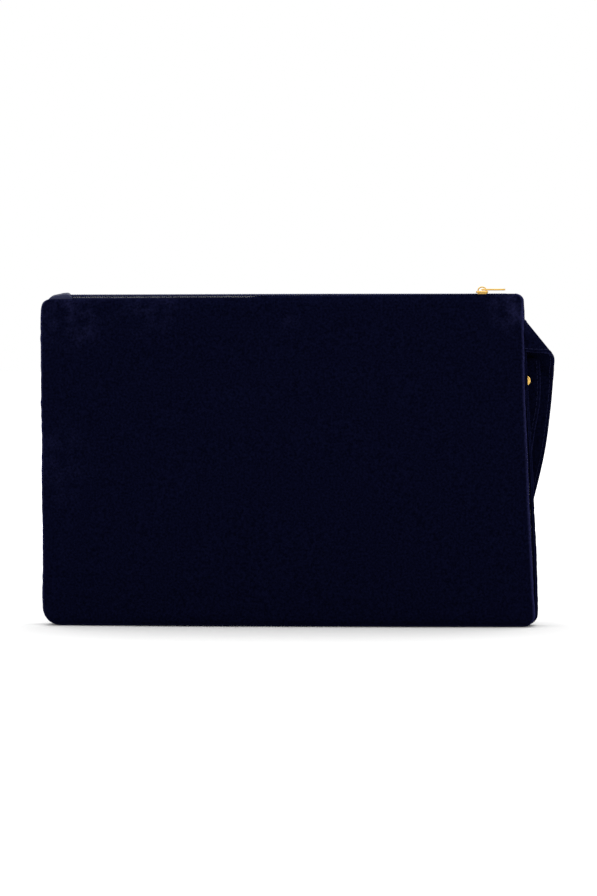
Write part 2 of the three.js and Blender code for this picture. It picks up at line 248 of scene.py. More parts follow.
def right_edge(z, inset, proud):
    """The right side, which leans in towards the zip, and stands proud on the back panel."""
    share = min(max(1 - z / TOP, 0.0), 1.0)
    wave = 0.35 * MM * rough(0, 0, z, 30 * MM, 11.3)
    swell = proud * math.sin(math.pi * min(max(z / TOP, 0.0), 1.0) ** 0.6) ** 0.7
    cut = corner_cut(z - inset, CORNER_BASE_RIGHT) + corner_cut(TOP - z, CORNER_TOP_RIGHT)
    return RIGHT - RIGHT_SHY - SIDE_LEAN * (1 - share ** 1.6) + wave + swell - cut - inset


def half_depth(x, z):
    """Half the bag's thickness: least at its sides and zip, and most low in the middle."""
    share = min(max(1 - z / TOP, 0.0), 1.0)
    edge = EDGE_HALF_TOP + (EDGE_HALF_BASE - EDGE_HALF_TOP) * share ** 1.5
    middle = ZIP_HALF + (BASE_HALF - DEPTH_SHY - ZIP_HALF) * (1 - (1 - share) ** 2.2)
    return edge + (middle - edge) * (1 - min(abs(x / HALF_WIDTH), 1.0) ** 3)


def rolled_edge(valley, radius, steps=6):
    """(distance in from the ridge, share of full depth) from the seam round to the face."""
    sunk = math.radians(60)
    points = []
    for i in range(steps):
        angle = sunk * (1 - i / steps)
        drop = valley * (1 - math.cos(angle)) / (1 - math.cos(sunk))
        points.append((drop, RIDGE_SHARE * (1 - math.sin(angle) / math.sin(sunk))))
    for i in range(steps + 3):
        angle = math.pi / 2 * i / (steps + 2)
        points.append((radius * (1 - math.cos(angle)),
                       RIDGE_SHARE + (1 - RIDGE_SHARE) * math.sin(angle)))
    return points


def crumple(x, z, edge):
    """How far the velvet stands off its smooth form: soft swells, and puckers by the seams."""
    swell = 0.55 * MM * rough(x, 0, z, 70 * MM, 1.7) + 0.22 * MM * rough(x, 0, z, 24 * MM, 5.2)
    near = math.exp(-edge / (5 * MM))
    pucker = 0.38 * MM * rough(edge * 0.4, 0, z, 3.4 * MM, 9.4) * near
    groove = -0.22 * MM * math.exp(-((edge - 4.2 * MM) / (0.8 * MM)) ** 2)
    return swell + pucker + groove


def panel_points(side, inset=0.0, drop=0.0, hem=True, step=FACE_STEP, crumpled=True, trimmed=0):
    """A grid over one half of the bag: side -1 is the front and 1 the back."""
    proud = BACK_PROUD if side > 0 else 0.0
    side_roll = rolled_edge(SEAM_VALLEY, SIDE_ROUND)[trimmed:]
    base_roll = rolled_edge(BASE_VALLEY, BASE_ROUND)[trimmed:]
    top = TOP - drop
    rows = [(e + inset, f) for e, f in base_roll]
    count = int((TOP - BASE_ROUND - HEM_TUCK) / step)
    start = BASE_ROUND + inset
    rows += [(start + (top - HEM_TUCK - start) * (i + 1) / count, 1.0) for i in range(count)]
    rows += [(top - HEM_TUCK + (HEM_TUCK - HEM_ROUND) * (i + 1) / 4, 1.0) for i in range(4)]
    hem_steps = 5 if hem else 0
    hem_round = max(HEM_ROUND - inset, 0.3 * MM)
    columns = int((RIGHT - LEFT - 2 * SIDE_ROUND) / step)
    grid = []
    edges = []
    total = len(rows) + hem_steps
    for j in range(total):
        z, share_up = rows[min(j, len(rows) - 1)]
        hem_angle = math.pi / 2 * (j - len(rows) + 1) / max(hem_steps, 1) if j >= len(rows) else 0
        z += hem_round * math.sin(hem_angle)
        x0 = left_edge(min(z, TOP), inset)
        x1 = right_edge(min(z, TOP), inset, proud)
        lean = ease((z - (top - HEM_TUCK)) / HEM_TUCK)
        line = []
        line_edges = []
        for i in range(2 * len(side_roll) + columns - 1):
            if i < len(side_roll):
                e, share = side_roll[i]
                x = x0 + e
            elif i >= len(side_roll) + columns - 1:
                e, share = side_roll[2 * len(side_roll) + columns - 2 - i]
                x = x1 - e
            else:
                t = (i - len(side_roll) + 1) / columns
                x = x0 + SIDE_ROUND + (x1 - x0 - 2 * SIDE_ROUND) * t
                share = 1.0
            edge = min(abs(x - x0), abs(x1 - x), z)
            depth = half_depth(x, z) - inset
            if hem:
                depth += (HEM_HALF - inset - depth) * lean
            depth -= hem_round * (1 - math.cos(hem_angle))
            reach = depth - side * SEAM_Y
            if crumpled:
                reach += crumple(x, z, edge) * (1 - lean) * min(share, share_up)
                if share < 1:
                    pull_in = rough(0, 2 * MM * share, z, 3.0 * MM, side * 4.4)
                    x += 0.3 * MM * pull_in * math.sin(math.pi * share)
            y = SEAM_Y + side * (reach * share * share_up + 0.1 * MM)
            line.append((x, y, z + hem_rise(x, z)))
            # Distance from the edge, for the velvet's painted sheen; the rolled-in valleys are pushed
            # out of it.
            rolled_in = 1 - min(share * share_up / RIDGE_SHARE, 1.0)
            line_edges.append(edge + VALLEY_SHADE * rolled_in)
        grid.append(line)
        edges.append(line_edges)
    return grid, edges


def grid_faces(rows, columns, flip=False):
    faces = []
    for j in range(rows - 1):
        for i in range(columns - 1):
            a = j * columns + i
            face = (a, a + 1, a + columns + 1, a + columns)
            faces.append(face[::-1] if flip else face)
    return faces


def mark_edges(obj, distances):
    """Stores how far each point is from an edge, for the velvet's painted sheen."""
    worn = obj.data.attributes.new("edge_distance", "FLOAT", "POINT")
    worn.data.foreach_set("value", distances)


def panel_object(name, side, material, thickness, inset=0.0, **shape):
    """A panel with real thickness: an outer and an inner grid, joined round their rims."""
    outer, edges = panel_points(side, inset=inset, **shape)
    inner, _ = panel_points(side, inset=inset + thickness, **shape)
    rows, columns = len(outer), len(outer[0])
    verts = [p for line in outer + inner for p in line]
    faces = grid_faces(rows, columns, flip=side > 0)
    shift = rows * columns
    faces += [tuple(shift + k for k in face[::-1]) for face in faces]
    rim = [j * columns for j in range(rows)]
    rim += [(rows - 1) * columns + i for i in range(1, columns)]
    rim += [j * columns + columns - 1 for j in range(rows - 2, -1, -1)]
    rim += list(range(columns - 2, -1, -1))
    for a, b in zip(rim, rim[1:]):
        face = (a, b, b + shift, a + shift)
        faces.append(face if side > 0 else face[::-1])
    obj = link_mesh(name, verts, faces, material)
    mark_edges(obj, [e for line in edges + edges for e in line])
    return obj


# Where the pile has been pressed the other way: x, z, reach and strength of each spot.
RUBBED_SPOTS = ((-0.132, 0.191, 0.034, 0.38), (0.138, 0.195, 0.024, 0.6),
                (0.001, 0.184, 0.012, 0.5), (0.103, 0.004, 0.012, 0.6),
                (-0.085, 0.197, 0.03, 0.25), (-0.145, 0.1, 0.04, 0.15))


def velvet_material():
    """Cut-pile rayon velvet: it drinks light face on. Its colour is painted a lighter blue near its
    edges, a painted sheen for the pile seen from its side at folds and ridges, and on spots where the
    pile has been pressed the other way."""
    material, tree, place = new_material("cut_pile_velvet")
    pile = add_node(tree, "ShaderNodeTexNoise", {"Scale": 1 / (1.3 * MM), "Detail": 3.0},
                    {"Vector": place})
    nap = add_node(tree, "ShaderNodeTexNoise", {"Scale": 1 / (9 * MM), "Detail": 4.0, "Roughness": 0.6},
                   {"Vector": place})
    edge = add_node(tree, "ShaderNodeAttribute", attribute_name="edge_distance")
    # Painted sheen: the colour is lighter within 2 mm of an edge.
    near = add_node(tree, "ShaderNodeMapRange",
                    {"From Min": 0.0, "From Max": 2.0 * MM, "To Min": 0.75, "To Max": 0.0},
                    {"Value": edge.outputs["Fac"]}, interpolation_type="SMOOTHSTEP")
    brushed = add_node(tree, "ShaderNodeMapRange",
                       {"From Min": 0.42, "From Max": 0.72, "To Min": 0.0, "To Max": 1.0},
                       {"Value": nap.outputs["Fac"]})
    sheen_and_crush = near.outputs[0]
    for x, z, reach, strength in RUBBED_SPOTS:
        away = add_node(tree, "ShaderNodeVectorMath", {1: (x, 0, z)}, {0: place},
                        operation="DISTANCE")
        spot = add_node(tree, "ShaderNodeMapRange",
                        {"From Min": 0.0, "From Max": reach, "To Min": strength, "To Max": 0.0},
                        {"Value": away.outputs["Value"]}, interpolation_type="SMOOTHSTEP")
        turned = add_node(tree, "ShaderNodeMath", links={0: brushed.outputs[0], 1: spot.outputs[0]},
                          operation="MULTIPLY")
        total = add_node(tree, "ShaderNodeMath", links={0: sheen_and_crush, 1: turned.outputs[0]},
                         operation="ADD", use_clamp=True)
        sheen_and_crush = total.outputs[0]
    speckle = add_node(tree, "ShaderNodeMapRange",
                       {"From Min": 0.3, "From Max": 0.7, "To Min": 0.5, "To Max": 1.5},
                       {"Value": pile.outputs["Fac"]})
    # The lighter tone is painted sheen near the edges, and crushed pile on the rubbed spots.
    tone = add_node(tree, "ShaderNodeMix", {"A": linear("#050616"), "B": linear("#1f2040")},
                    {"Factor": sheen_and_crush}, data_type="RGBA")
    speckled = add_node(tree, "ShaderNodeVectorMath", links={0: tone.outputs["Result"]},
                        operation="SCALE")
    tree.links.new(speckle.outputs[0], speckled.inputs["Scale"])
    bump = add_node(tree, "ShaderNodeBump", {"Strength": 0.35, "Distance": 0.25 * MM},
                    {"Height": pile.outputs["Fac"]})
    shader = add_node(tree, "ShaderNodeBsdfPrincipled",
                      {"Roughness": 1.0, "Specular IOR Level": 0.0, "Sheen Weight": 0.06,
                       "Sheen Roughness": 0.35, "Sheen Tint": linear("#6268c0")},
                      {"Base Color": speckled.outputs[0], "Normal": bump.outputs["Normal"]})
    return finish_material(material, shader)


def opens_with_mouth(obj):
    """Bakes a piece of the front half's placement into its mesh."""
    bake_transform(obj)


velvet = velvet_material()
panel_front = panel_object("velvet_front", -1, velvet, VELVET_T)
panel_back = panel_object("velvet_back", 1, velvet, VELVET_T)
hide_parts("front_panel")
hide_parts("back_panel")
opens_with_mouth(panel_front)
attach(panel_back, "back_half")

# ---------------------------------------------------------------------------
# Interlining: a sheet of off-white non-woven wadding tacked to the wrong side of each
# velvet panel. It keeps the pouch flat and is sealed in by the lining.

INTERLINING_INSET = 1.9 * MM
INTERLINING_T = 0.7 * MM
INTERLINING_DROP = 4 * MM
WADDING_STEP = 4.0 * MM
TRIMMED = 7                     # grid rows left off each edge, to keep it out of the seams


def finish_patterned(material, colours, pattern, relief, settings, height=None, over=None, links=None):
    """Finishes a material whose colour and relief follow a pattern. Relief is its strength and
    depth, height another pattern for it to follow, and over a finer relief that it lies on."""
    tree = material.node_tree
    tone = add_node(tree, "ShaderNodeMix", {"A": linear(colours[0]), "B": linear(colours[1])},
                    {"Factor": pattern}, data_type="RGBA")
    bump = add_node(tree, "ShaderNodeBump", {"Strength": relief[0], "Distance": relief[1]},
                    {"Height": pattern if height is None else height})
    if over is not None:
        tree.links.new(over, bump.inputs["Normal"])
    shader = add_node(tree, "ShaderNodeBsdfPrincipled", settings,
                      {"Base Color": tone.outputs["Result"], "Normal": bump.outputs["Normal"],
                       **(links or {})})
    return finish_material(material, shader)


def wadding_material():
    """Needle-punched polyester wadding: matt, fibrous, a little uneven in tone."""
    material, tree, place = new_material("nonwoven_wadding")
    fibre = add_node(tree, "ShaderNodeTexNoise",
                     {"Scale": 1 / (1.5 * MM), "Detail": 5.0, "Distortion": 1.5}, {"Vector": place})
    return finish_patterned(material, ("#b9b7b1", "#dedcd6"), fibre.outputs["Fac"], (0.5, 0.2 * MM),
                            {"Roughness": 0.95, "Specular IOR Level": 0.2})


def goes_with(obj, side):
    """A piece of the front half has its placement baked into its mesh; a piece of the back half rides on
    it.
    """
    if side < 0:
        opens_with_mouth(obj)
    else:
        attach(obj, "back_half")


wadding = wadding_material()
for side, end in ((-1, "front"), (1, "back")):
    wad = panel_object(f"wadding_{end}", side, wadding, INTERLINING_T, inset=INTERLINING_INSET,
                       drop=INTERLINING_DROP, hem=False, step=WADDING_STEP, crumpled=False,
                       trimmed=TRIMMED)
    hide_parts(f"interlining_{end}")
    goes_with(wad, side)

# ---------------------------------------------------------------------------
# Lining: a bag of navy satin-weave polyester inside the velvet one, sewn to the zip's
# tape all round the mouth. It creases a little, because it is cut slightly full.

LINING_INSET = 2.9 * MM
LINING_T = 0.3 * MM
LINING_DROP = 9 * MM
LINING_STEP = 2.0 * MM


def lining_material():
    """Polyester satin: fine warp floats give it a soft, directional shine."""
    material, tree, place = new_material("polyester_satin_lining")
    weave = add_node(tree, "ShaderNodeTexWave",
                     {"Scale": wave_scale(0.5 * MM), "Distortion": 0.4, "Detail": 1.0},
                     {"Vector": place}, bands_direction="DIAGONAL")
    crease = add_node(tree, "ShaderNodeTexNoise",
                      {"Scale": 1 / (18 * MM), "Detail": 3.0, "Distortion": 0.8}, {"Vector": place})
    rib = add_node(tree, "ShaderNodeBump", {"Strength": 0.15, "Distance": 0.05 * MM},
                   {"Height": weave.outputs["Fac"]})
    # Painted sheen and shade: the colour is lighter on the crests of the crease pattern and darker in
    # its hollows.
    return finish_patterned(material, ("#10142e", "#232a58"), crease.outputs["Fac"], (0.6, 1.2 * MM),
                            {"Roughness": 0.42, "Specular IOR Level": 0.5, "Anisotropic": 0.4,
                             "Sheen Weight": 0.1, "Sheen Tint": linear("#8089c8")},
                            over=rib.outputs["Normal"])


satin_lining = lining_material()
for side, end in ((-1, "front"), (1, "back")):
    cloth = panel_object(f"satin_lining_{end}", side, satin_lining, LINING_T, inset=LINING_INSET,
                         drop=LINING_DROP, hem=False, step=LINING_STEP, crumpled=False)
    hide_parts(f"lining_{end}")
    goes_with(cloth, side)

# ---------------------------------------------------------------------------
# Zip tape: two strips of herringbone polyester, 14 mm wide, one sewn down inside each
# panel. Past the slider the two strips part a little, where its neck has opened them.

tape_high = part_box("zip_tape_front")[1]
coil_low, coil_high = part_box("zip_coil_front")
slider_low, slider_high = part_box("slider_body")
SLIDER_X = (slider_low[0] + slider_high[0]) / 2
TAPE_TOP = tape_high[2]
TAPE_T = 0.5 * MM
TAPE_PATH = ((0.7, 0.3), (1.8, 0.3), (2.7, 0.05), (3.3, -0.4), (3.7, -1.3), (3.85, -2.6),
             (3.9, -5), (3.9, -8), (3.9, -12))      # mm out from the centre line, and up
TAPE_START = LEFT + 7 * MM      # the cut end is hidden under the left end tab
TAPE_STEP = 1.4 * MM
PARTING = 0.8 * MM
PARTING_RUN = 9 * MM
ZIP_LIFT = 0.2 * MM
ZIP_LIFT_RUN = 90 * MM


def parted(x):
    """How far each side of the zip stands off the centre line past the slider."""
    return PARTING * ease((x - SLIDER_X - 1 * MM) / PARTING_RUN)


def zip_lift(x):
    """The zip is eased up out of the hem towards its closed end, and waves a little."""
    wave = 0.05 * MM * rough(x, 0, 0, 60 * MM, 4.6)
    return ZIP_LIFT * ease((SLIDER_X - 12 * MM - x) / ZIP_LIFT_RUN) + wave


def tape_material():
    """Woven polyester tape: a fine herringbone, matt, with a faint thread shine."""
    material, tree, place = new_material("herringbone_polyester_tape")
    rib = add_node(tree, "ShaderNodeTexWave", {"Scale": wave_scale(0.8 * MM), "Distortion": 0.6},
                   {"Vector": place}, bands_direction="DIAGONAL")
    slub = add_node(tree, "ShaderNodeTexNoise", {"Scale": 1 / (2.5 * MM), "Detail": 3.0},
                    {"Vector": place})
    mixed = add_node(tree, "ShaderNodeMath", links={0: rib.outputs["Fac"], 1: slub.outputs["Fac"]},
                     operation="MULTIPLY")
    return finish_patterned(material, ("#0c0e22", "#1f2446"), mixed.outputs[0], (0.6, 0.12 * MM),
                            {"Roughness": 0.8, "Specular IOR Level": 0.06}, height=rib.outputs["Fac"])


def thicken(obj, thickness, offset=-1):
    """Gives one layer of cloth its thickness: below its surface, or half to each side."""
    solid = obj.modifiers.new("thickness", "SOLIDIFY")
    solid.thickness = thickness
    solid.offset = offset


def zip_tape(name, side, material):
    """One strip, lying beside the coil and turning down inside its panel's hem."""
    columns = int((tape_high[0] - TAPE_START) / TAPE_STEP)
    verts = []
    for across, up in TAPE_PATH:
        for i in range(columns + 1):
            x = TAPE_START + (tape_high[0] - TAPE_START) * i / columns
            spread = parted(x) * max(1 - across / 3.5, 0)
            wave = 0.12 * MM * rough(x, across, 0, 14 * MM, side * 2.3)
            lift = zip_lift(x) * ease((3.3 - across) / 1.2)
            verts.append((x, side * (across * MM + spread + wave), TAPE_TOP + up * MM + lift))
    obj = link_mesh(name, verts, grid_faces(len(TAPE_PATH), columns + 1, side < 0), material)
    thicken(obj, TAPE_T)
    return obj


herringbone = tape_material()
for side, end in ((-1, "front"), (1, "back")):
    strip = zip_tape(f"tape_{end}", side, herringbone)
    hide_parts(f"zip_tape_{end}")
    goes_with(strip, side)

# ---------------------------------------------------------------------------
# Coils: each half of the zip is one nylon monofilament wound into a flat spring, with its
# turns meshed with the other half's, and held to the tape by a row of chain stitch.

COIL_PITCH = 1.4 * MM
FILAMENT_R = 0.34 * MM
COIL_MIDDLE = 1.2 * MM          # the middle of one spring, from the centre line
COIL_REACH = 1.45 * MM
COIL_START = LEFT + 17 * MM     # where the turns come out from under the left end tab
COIL_RISE = (coil_high[2] - coil_low[2]) / 2 - FILAMENT_R
COIL_Z = (coil_high[2] + coil_low[2]) / 2
TURNS = int((coil_high[0] - COIL_START) / COIL_PITCH) - 1
TURN_STEPS = 12
CORE_R = 0.42 * MM
CORE_SINK = 0.32 * MM
THREAD_R = 0.13 * MM
THREAD_OUT = 1.9 * MM
THREAD_SINK = 0.32 * MM         # the thread beds down between the turns it holds
THREAD_DIP = 0.14 * MM


def tube_mesh(points, radius, sides):
    """Rings of points round a path, and the faces that close them into a capped tube."""
    verts = []
    faces = []
    up = Vector((0, 0, 1))
    path = [Vector(p) for p in points]
    for i, p in enumerate(path):
        ahead = (path[min(i + 1, len(path) - 1)] - path[max(i - 1, 0)]).normalized()
        out = up.cross(ahead)
        if out.length < 1e-6:
            out = Vector((1, 0, 0))
        out.normalize()
        up = ahead.cross(out).normalized()
        for k in range(sides):
            angle = 2 * math.pi * k / sides
            verts.append(p + out * (radius * math.cos(angle)) + up * (radius * math.sin(angle)))
    for i in range(len(path) - 1):
        for k in range(sides):
            a, b = i * sides + k, i * sides + (k + 1) % sides
            faces.append((a, b, b + sides, a + sides))
    faces.append(tuple(range(sides))[::-1])
    faces.append(tuple(range(len(verts) - sides, len(verts))))
    return verts, faces


def nylon_material():
    """Dyed nylon monofilament: smooth and slightly glossy, a touch lighter in faint streaks."""
    material, tree, place = new_material("nylon_monofilament")
    streak = add_node(tree, "ShaderNodeTexNoise", {"Scale": 1 / (3 * MM), "Detail": 2.0},
                      {"Vector": place})
    return finish_patterned(material, ("#1a1d3a", "#2c3156"), streak.outputs["Fac"], (0.2, 0.05 * MM),
                            {"Roughness": 0.55, "IOR": 1.53, "Specular IOR Level": 0.06})


def thread_material():
    """Polyester sewing thread: two twisted plies, so it is barred along its length."""
    material, tree, place = new_material("polyester_thread")
    twist = add_node(tree, "ShaderNodeTexWave", {"Scale": wave_scale(0.5 * MM), "Distortion": 0.3},
                     {"Vector": place}, bands_direction="DIAGONAL")
    return finish_patterned(material, ("#090a1e", "#191c40"), twist.outputs["Fac"], (0.5, 0.05 * MM),
                            {"Roughness": 0.7, "Specular IOR Level": 0.08})


def squared(wave):
    """A sine or cosine with flatter tops, for turns that were wound over a flat core."""
    return math.copysign(abs(wave) ** 0.6, wave)


def coil_path(side):
    """The filament's winding. The two halves are half a turn apart, so they mesh."""
    points = []
    for i in range(TURNS * TURN_STEPS + 1):
        turn = i / TURN_STEPS + (0.5 if side > 0 else 0)
        angle = 2 * math.pi * i / TURN_STEPS
        x = COIL_START + turn * COIL_PITCH
        across = COIL_MIDDLE + parted(x) + COIL_REACH * squared(math.cos(angle))
        points.append((x, side * across, COIL_Z + COIL_RISE * squared(math.sin(angle)) + zip_lift(x)))
    return points


def core_path(side, across):
    """The filler cord that lies inside the turns of each spring."""
    points = []
    for i in range(TURNS + 1):
        x = COIL_START + COIL_PITCH * (i + 0.25)
        points.append((x, side * (across + parted(x)), COIL_Z - CORE_SINK + zip_lift(x)))
    return points


def coil_thread_path(side):
    """A thread that dips between the turns of the coil, four points to a turn."""
    points = []
    for i in range(TURNS * 4 + 1):
        x = COIL_START + COIL_PITCH * i / 4
        dip = THREAD_DIP * math.cos(math.pi * i / 2)
        z = coil_high[2] - THREAD_SINK + dip + zip_lift(x)
        points.append((x, side * (THREAD_OUT + parted(x)), z))
    return points


nylon = nylon_material()
thread = thread_material()
for side, end in ((-1, "front"), (1, "back")):
    spring = link_mesh(f"nylon_coil_{end}", *tube_mesh(coil_path(side), FILAMENT_R, 6), nylon)
    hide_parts(f"zip_coil_{end}")
    goes_with(spring, side)
    for strand, across in (("inner", 0.9 * MM), ("outer", 1.6 * MM)):
        core = link_mesh(f"filler_cord_{strand}_{end}", *tube_mesh(core_path(side, across), CORE_R, 8),
                         thread)
        goes_with(core, side)
    row = link_mesh(f"coil_stitch_{end}", *tube_mesh(coil_thread_path(side), THREAD_R, 5), thread)
    goes_with(row, side)

# ---------------------------------------------------------------------------
# End tabs: a scrap of blue satin folded over each cut end of the zip, so that no raw tape
# shows. The left one stands up as a small creased peak.

SATIN_T = 0.35 * MM
SATIN_FALL = 3.0 * MM           # how far its outer end tucks down between the panels
SATIN_HALF = 4.1 * MM           # half its reach across the zip
SATIN_TUCK = 3 * MM             # how far its sides turn down inside the hems
SATIN_BASE = 0.6 * MM           # how far it lies above the tape
SATIN_CREASE = 0.3 * MM
SATIN_COLUMNS = 16
SATIN_ROWS = 20


def tab_material():
    """Silk-finish satin, folded, with painted sheen: pale along its creases and deep blue between them.
    """
    material, tree, place = new_material("blue_satin_binding")
    crease = add_node(tree, "ShaderNodeTexNoise",
                      {"Scale": 1 / (2.2 * MM), "Detail": 2.0, "Distortion": 1.0}, {"Vector": place})
    weave = add_node(tree, "ShaderNodeTexWave", {"Scale": wave_scale(0.4 * MM, diagonal=False)},
                     {"Vector": place}, bands_direction="X")
    fine = add_node(tree, "ShaderNodeBump", {"Strength": 0.2, "Distance": 0.05 * MM},
                    {"Height": weave.outputs["Fac"]})
    # Painted sheen: lighter on the crests of the crease pattern, deep blue in its hollows.
    return finish_patterned(material, ("#0b0f28", "#171c3e"), crease.outputs["Fac"], (0.5, 0.4 * MM),
                            {"Roughness": 0.4, "Specular IOR Level": 0.2, "Sheen Weight": 0.05},
                            over=fine.outputs["Normal"])


def round_off(obj, levels):
    """Smooths a folded piece by subdividing it."""
    rounding = obj.modifiers.new("soften", "SUBSURF")
    rounding.levels = levels
    rounding.render_levels = levels


def end_tab(name, node, start, end, peak, lift, falls, material):
    """A saddle of cloth over the zip, from inside one panel's hem to inside the other's."""
    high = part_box(node)[1]
    verts = []
    for j in range(SATIN_ROWS + 1):
        t = 2 * j / SATIN_ROWS - 1
        for i in range(SATIN_COLUMNS + 1):
            x = start + (end - start) * i / SATIN_COLUMNS
            slope = (x - start) / (peak - start) if x < peak else (end - x) / (end - peak)
            crown = SATIN_BASE + (high[2] - TAPE_TOP + lift) * ease(slope) ** 0.6 * (1 - abs(t) ** 3)
            crease = SATIN_CREASE * rough(x, SATIN_HALF * t, 0, 2.6 * MM, 6.1) * (1 - t * t)
            from_end = (x - start) / (end - start) if falls < 0 else (end - x) / (end - start)
            crown -= SATIN_FALL * max(1 - 4 * from_end, 0) ** 2
            tuck = SATIN_TUCK * ease((abs(t) - 0.75) / 0.25)
            verts.append((x, SATIN_HALF * t, TAPE_TOP - tuck + crown + crease))
    obj = link_mesh(name, verts, grid_faces(SATIN_ROWS + 1, SATIN_COLUMNS + 1), material)
    thicken(obj, SATIN_T)
    round_off(obj, 1)
    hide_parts(node)
    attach(obj, "back_half")


binding = tab_material()
end_tab("satin_tab_left", "zip_end_tab_left", LEFT + 2.5 * MM, LEFT + 18.5 * MM, LEFT + 15.5 * MM,
        0.1 * MM, -1, binding)
right_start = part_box("zip_end_tab_right")[0][0]
end_tab("satin_tab_right", "zip_end_tab_right", right_start - 1 * MM, right_start + 7 * MM,
        right_start + 2.5 * MM, -1.2 * MM, 1, binding)

# ---------------------------------------------------------------------------
# Slider: die-cast zinc, barrel polished and gold plated. Two plates joined by a neck hold
# the coils between side flanges, and an arched bridge staked on top carries the pull tab.

bridge_low, bridge_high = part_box("slider_bridge")
PLATE_T = 1.2 * MM
PLATE_NOSE = 3.9 * MM           # half width at the end that the open coils enter
PLATE_TAIL = 3.3 * MM
PLATE_ROUND = 1.3 * MM
UNDER_NOSE = 3.0 * MM           # the lower plate is narrower
UNDER_TAIL = 2.7 * MM
UNDER_ROUND = 1.0 * MM
FLANGE_END = 0.9 * MM           # the flanges stop short of the plate's ends
FLANGE_OUT = 0.15 * MM          # and stand in from its sides
FLANGE_IN_NOSE = 1.0 * MM
FLANGE_IN_TAIL = 0.8 * MM
NECK = ((3.0, 0.0), (1.2, -0.7), (0.3, 0.0), (1.2, 0.7))       # mm in from the nose, and across
JOIN = 0.05 * MM                # overlap where the casting's parts run into each other
CAST_EDGE = 0.28 * MM
BRIDGE_W = 1.4 * MM
BRIDGE_T = 0.75 * MM
BRIDGE_FLARE = 0.35             # share by which it widens towards its staked feet
BRIDGE_SINK = 0.1 * MM
BRIDGE_EDGE = 0.2 * MM
BRIDGE_STEPS = 20


def gold_material():
    """Gold plate over polished zinc: a warm mirror, softened by fine rumbling marks."""
    material, tree, place = new_material("gold_plated_zinc")
    marks = add_node(tree, "ShaderNodeTexNoise", {"Scale": 1 / (0.9 * MM), "Detail": 4.0},
                     {"Vector": place})
    shine = add_node(tree, "ShaderNodeMapRange", {"To Min": 0.16, "To Max": 0.3},
                     {"Value": marks.outputs["Fac"]})
    return finish_patterned(material, ("#c08a2c", "#e8c878"), marks.outputs["Fac"], (0.08, 0.05 * MM),
                            {"Metallic": 1.0}, links={"Roughness": shine.outputs[0]})


def prism(bm, outline, z0, z1):
    """Adds a closed upright prism over an outline of (x, y) points."""
    low = [bm.verts.new((x, y, z0)) for x, y in outline]
    high = [bm.verts.new((x, y, z1)) for x, y in outline]
    bm.faces.new(low[::-1])
    bm.faces.new(high)
    for i in range(len(outline)):
        j = (i + 1) % len(outline)
        bm.faces.new((low[i], low[j], high[j], high[i]))


def cast_part(name, bm, edge, node, body, material):
    """A hard-edged mesh with its edges rounded, riding on a body in place of its node."""
    bmesh.ops.recalc_face_normals(bm, faces=bm.faces)
    mesh = bpy.data.meshes.new(name)
    bm.to_mesh(mesh)
    bm.free()
    obj = link_object(name, mesh, material)
    if edge:
        bevel = obj.modifiers.new("rounded_edges", "BEVEL")
        bevel.width = edge
        bevel.segments = 3
        bevel.limit_method = "ANGLE"
        bevel.harden_normals = True
    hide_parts(node)
    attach(obj, body)


def rounded_outline(corners, radius, steps=4):
    """A polygon with each of its corners replaced by a short arc."""
    points = []
    count = len(corners)
    for i in range(count):
        here = Vector(corners[i])
        before = (Vector(corners[i - 1]) - here).normalized()
        after = (Vector(corners[(i + 1) % count]) - here).normalized()
        start, end = here + before * radius, here + after * radius
        for k in range(steps + 1):
            t = k / steps
            points.append(tuple((1 - t) ** 2 * start + 2 * t * (1 - t) * here + t * t * end))
    return points


gold = gold_material()
x0, x1 = slider_low[0], slider_high[0]
bm = bmesh.new()
plate = rounded_outline([(x0, -PLATE_TAIL), (x1, -PLATE_NOSE), (x1, PLATE_NOSE), (x0, PLATE_TAIL)],
                        PLATE_ROUND)
prism(bm, plate, slider_high[2] - PLATE_T, slider_high[2])
under = rounded_outline([(x0, -UNDER_TAIL), (x1, -UNDER_NOSE), (x1, UNDER_NOSE), (x0, UNDER_TAIL)],
                        UNDER_ROUND)
prism(bm, under, slider_low[2], slider_low[2] + PLATE_T)
for side in (-1, 1):
    flange = [(x0 + FLANGE_END, side * (PLATE_TAIL - FLANGE_OUT)),
              (x1 - FLANGE_END, side * (PLATE_NOSE - FLANGE_OUT)),
              (x1 - FLANGE_END, side * (PLATE_NOSE - FLANGE_IN_NOSE)),
              (x0 + FLANGE_END, side * (PLATE_TAIL - FLANGE_IN_TAIL))]
    prism(bm, flange, coil_low[2], slider_high[2] - PLATE_T + JOIN)
neck = [(x1 - inward * MM, aside * MM) for inward, aside in NECK]
prism(bm, neck, slider_low[2] + PLATE_T - JOIN, slider_high[2] - PLATE_T + JOIN)
cast_part("cast_slider", bm, CAST_EDGE, "slider_body", "slider", gold)

bm = bmesh.new()
arch_half = (bridge_high[0] - bridge_low[0]) / 2
arch_rise = bridge_high[2] - slider_high[2]
sections = []
for i in range(BRIDGE_STEPS + 1):
    angle = math.pi * i / BRIDGE_STEPS
    wide = BRIDGE_W / 2 * (1 + BRIDGE_FLARE * math.cos(angle) ** 2)
    ring = []
    for reach in (0, BRIDGE_T):
        x = SLIDER_X - (arch_half - reach) * math.cos(angle)
        z = slider_high[2] - BRIDGE_SINK + (arch_rise - reach) * math.sin(angle) ** 0.8
        ring += [bm.verts.new((x, -wide, z)), bm.verts.new((x, wide, z))]
    sections.append((ring[0], ring[1], ring[3], ring[2]))
for a, b in zip(sections, sections[1:]):
    for k in range(4):
        bm.faces.new((a[k], a[(k + 1) % 4], b[(k + 1) % 4], b[k]))
bm.faces.new(sections[0])
bm.faces.new(sections[-1])
cast_part("bridge", bm, BRIDGE_EDGE, "slider_bridge", "slider", gold)

# ---------------------------------------------------------------------------
# Pull tab: a stamped and plated bar, waisted behind its eye. The eye's round bar turns
# under the bridge, so the tab lies flat either way or stands up to be gripped.

